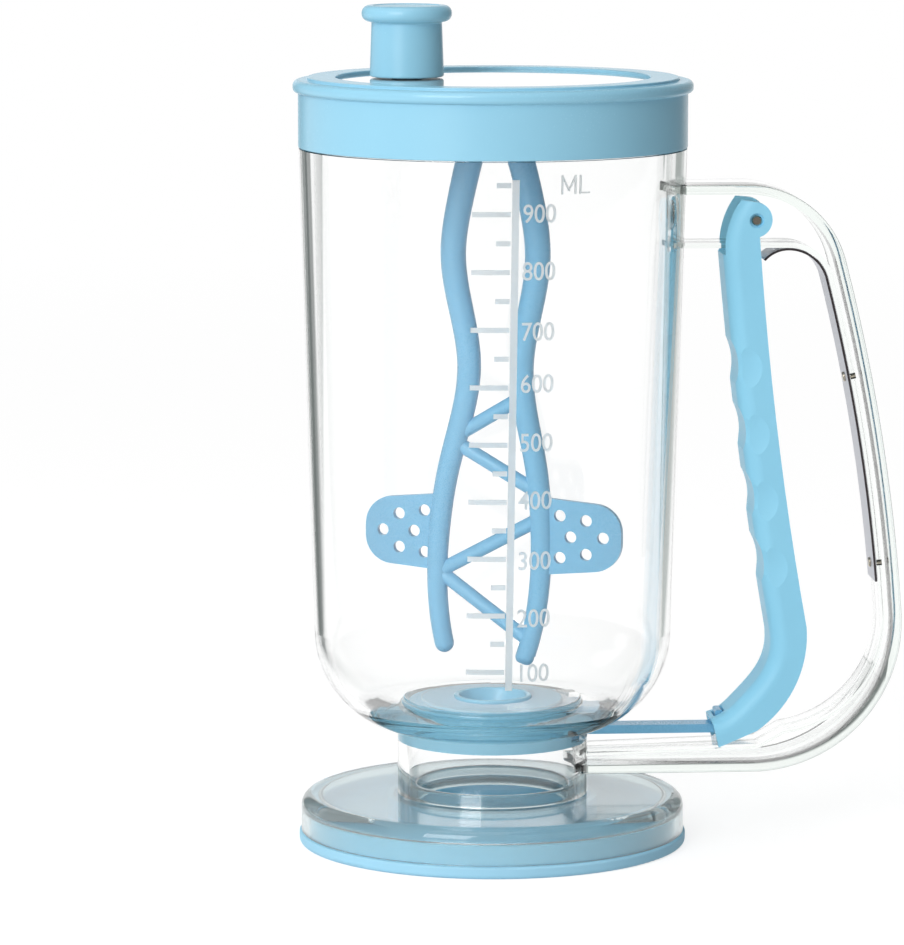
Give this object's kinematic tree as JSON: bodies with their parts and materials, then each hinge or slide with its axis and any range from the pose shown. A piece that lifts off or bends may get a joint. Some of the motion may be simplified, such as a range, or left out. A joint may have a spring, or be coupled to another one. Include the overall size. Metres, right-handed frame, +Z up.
{
  "type": "batter dispenser",
  "caption": "Clear jar with a crank-driven stirrer in its lid, a squeeze lever in its loop handle that slides a shutter open under the jar, and a round drip stand.",
  "frame": {"origin": "on the jar's axis at the underside of the stand", "axes": "+Z up along the jar's axis, +X towards the handle"},
  "size_m": [0.1608, 0.1052, 0.2222],
  "materials": {
    "blue_plastic": "satin gloss moulded light blue plastic",
    "clear_plastic": "polished clear moulded plastic",
    "disc_plastic": "glossy pale translucent plastic",
    "soft_blue": "soft light blue non-slip elastomer",
    "silicone": "translucent white silicone",
    "spring_steel": "rolled grey spring steel strip",
    "bright_steel": "bright turned steel"
  },
  "bodies": {
    "stand": {"stand_foot_ring": "soft_blue", "stand_pan": "blue_plastic", "stand_cover": "clear_plastic"},
    "jar": {"jar_body": "clear_plastic", "outlet_funnel": "blue_plastic", "outlet_seal": "silicone", "shutter_guide": "blue_plastic", "handle_frame": "clear_plastic", "leaf_spring": "spring_steel", "spring_rivets": "bright_steel", "lever_pivot_pin": "bright_steel"},
    "lever": {"squeeze_lever": "blue_plastic"},
    "shutter": {"shutter_plate": "blue_plastic"},
    "lid": {"lid_ring": "blue_plastic", "lid_seal": "silicone"},
    "crank": {"crank_disc": "disc_plastic", "crank_spindle": "blue_plastic", "spindle_seal": "silicone", "stirrer": "blue_plastic", "stirrer_screw": "bright_steel", "knob_post": "blue_plastic", "knob_screw": "bright_steel"},
    "knob": {"crank_knob": "blue_plastic", "knob_cap": "blue_plastic"}
  },
  "joints": [
    {"name": "jar_lift", "type": "slide", "parent": "stand", "child": "jar", "axis": [0, 0, 1], "range_m": [0, 0.05]},
    {"name": "lever_squeeze", "type": "hinge", "parent": "jar", "child": "lever", "pos_m": [0.0688, 0, 0.1663], "axis": [0, -1, 0], "range_deg": [0, 5.1], "stiffness_Nm_per_rad": 1.5, "springref_deg": -11.46, "deforming": ["leaf_spring"]},
    {"name": "shutter_slide", "type": "slide", "parent": "jar", "child": "shutter", "axis": [1, 0, 0], "range_m": [0, 0.012]},
    {"name": "lid_lift", "type": "slide", "parent": "jar", "child": "lid", "axis": [0, 0, 1], "range_m": [0, 0.16]},
    {"name": "crank_turn", "type": "hinge", "parent": "lid", "child": "crank", "pos_m": [0, 0, 0.2], "axis": [0, 0, 1], "continuous": true},
    {"name": "knob_spin", "type": "hinge", "parent": "crank", "child": "knob", "pos_m": [-0.02213, 0.00849, 0.21], "axis": [0, 0, 1], "continuous": true}
  ],
  "couplings": [
    {"joint": "shutter_slide", "follows": "lever_squeeze", "m_per_rad": 0.1338}
  ]
}
